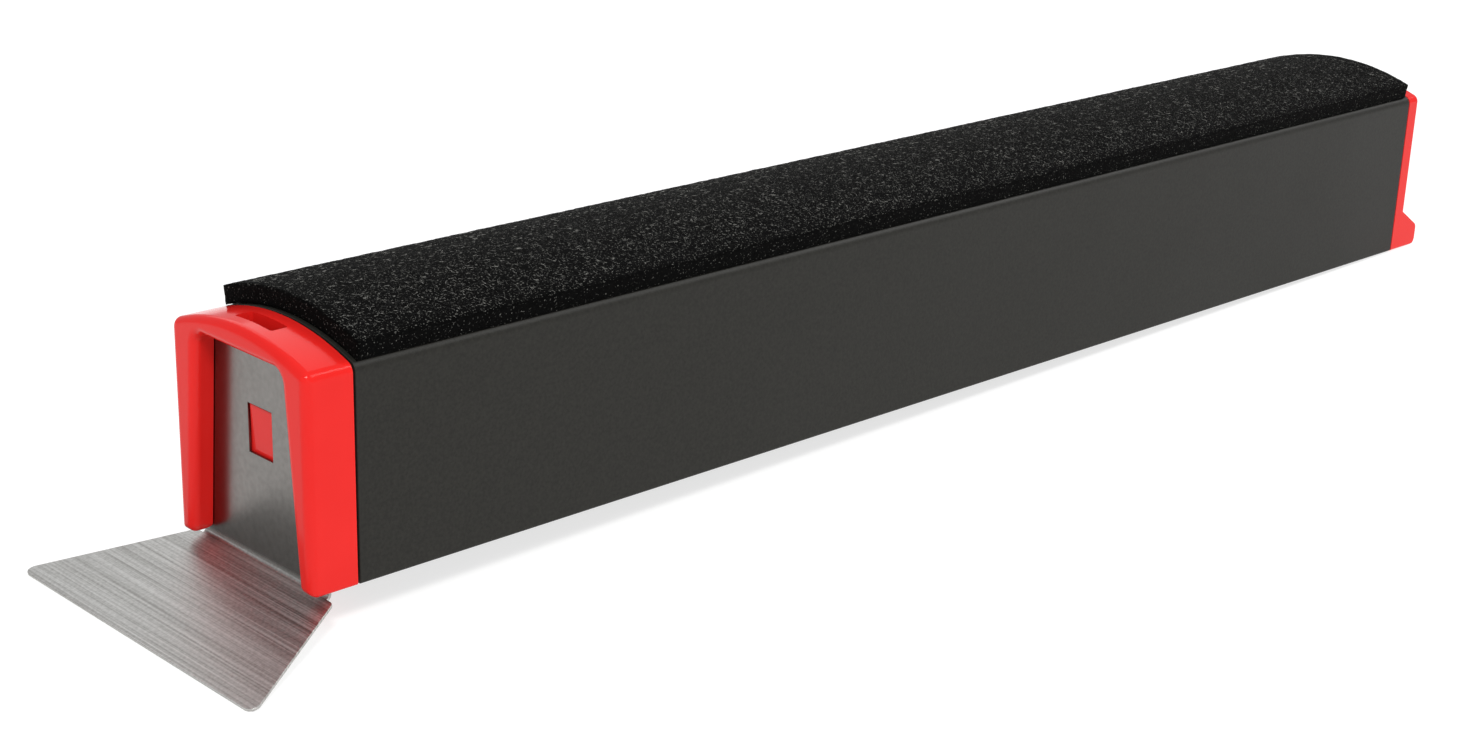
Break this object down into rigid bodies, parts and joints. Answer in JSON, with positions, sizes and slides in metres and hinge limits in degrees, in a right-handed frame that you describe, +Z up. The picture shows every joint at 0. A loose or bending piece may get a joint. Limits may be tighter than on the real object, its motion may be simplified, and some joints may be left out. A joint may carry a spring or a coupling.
{
  "type": "magnetic glass cleaner",
  "caption": "Long floating magnetic glass cleaner, wet-side half, with a curved felt pad, end caps and a removable bent scraper blade locked by a catch.",
  "frame": {"origin": "middle of the housing's flat underside", "axes": "+X along the bar, away from the scraper end; +Y across the bar; +Z up from the underside to the felt"},
  "size_m": [0.2626, 0.0514, 0.039],
  "materials": {
    "housing_plastic": "satin",
    "cap_plastic": "gloss",
    "blade_steel": "brushed",
    "felt": "matte",
    "adhesive": "matte",
    "seal_rubber": "matte",
    "tray_plastic": "matte",
    "keeper_steel": "satin",
    "magnet_plating": "polished",
    "foam": "matte"
  },
  "bodies": {
    "cleaner": {"housing": "housing_plastic", "front_cap": "cap_plastic", "rear_cap": "cap_plastic", "felt_pad": "felt", "felt_adhesive": "adhesive", "front_seal": "seal_rubber", "rear_seal": "seal_rubber", "magnet_tray": "tray_plastic", "keeper_plate": "keeper_steel", "magnet_1": "magnet_plating", "magnet_2": "magnet_plating", "magnet_3": "magnet_plating", "magnet_4": "magnet_plating", "magnet_5": "magnet_plating", "magnet_6": "magnet_plating", "foam_block_1": "foam", "foam_block_2": "foam", "foam_block_3": "foam"},
    "scraper": {"blade": "blade_steel"},
    "catch": {"blade_catch": "cap_plastic"}
  },
  "joints": [
    {"name": "blade_slide", "type": "slide", "parent": "cleaner", "child": "scraper", "axis": [0, 0, 1], "range_m": [-0.0285, 0]},
    {"name": "catch_swing", "type": "hinge", "parent": "cleaner", "child": "catch", "pos_m": [-0.11812, 0, 0.0043], "axis": [0, 1, 0], "range_deg": [0, 5.5]}
  ],
  "couplings": [
    {"joint": "catch_swing", "follows": "blade_slide", "rad_per_m": -3.36}
  ]
}
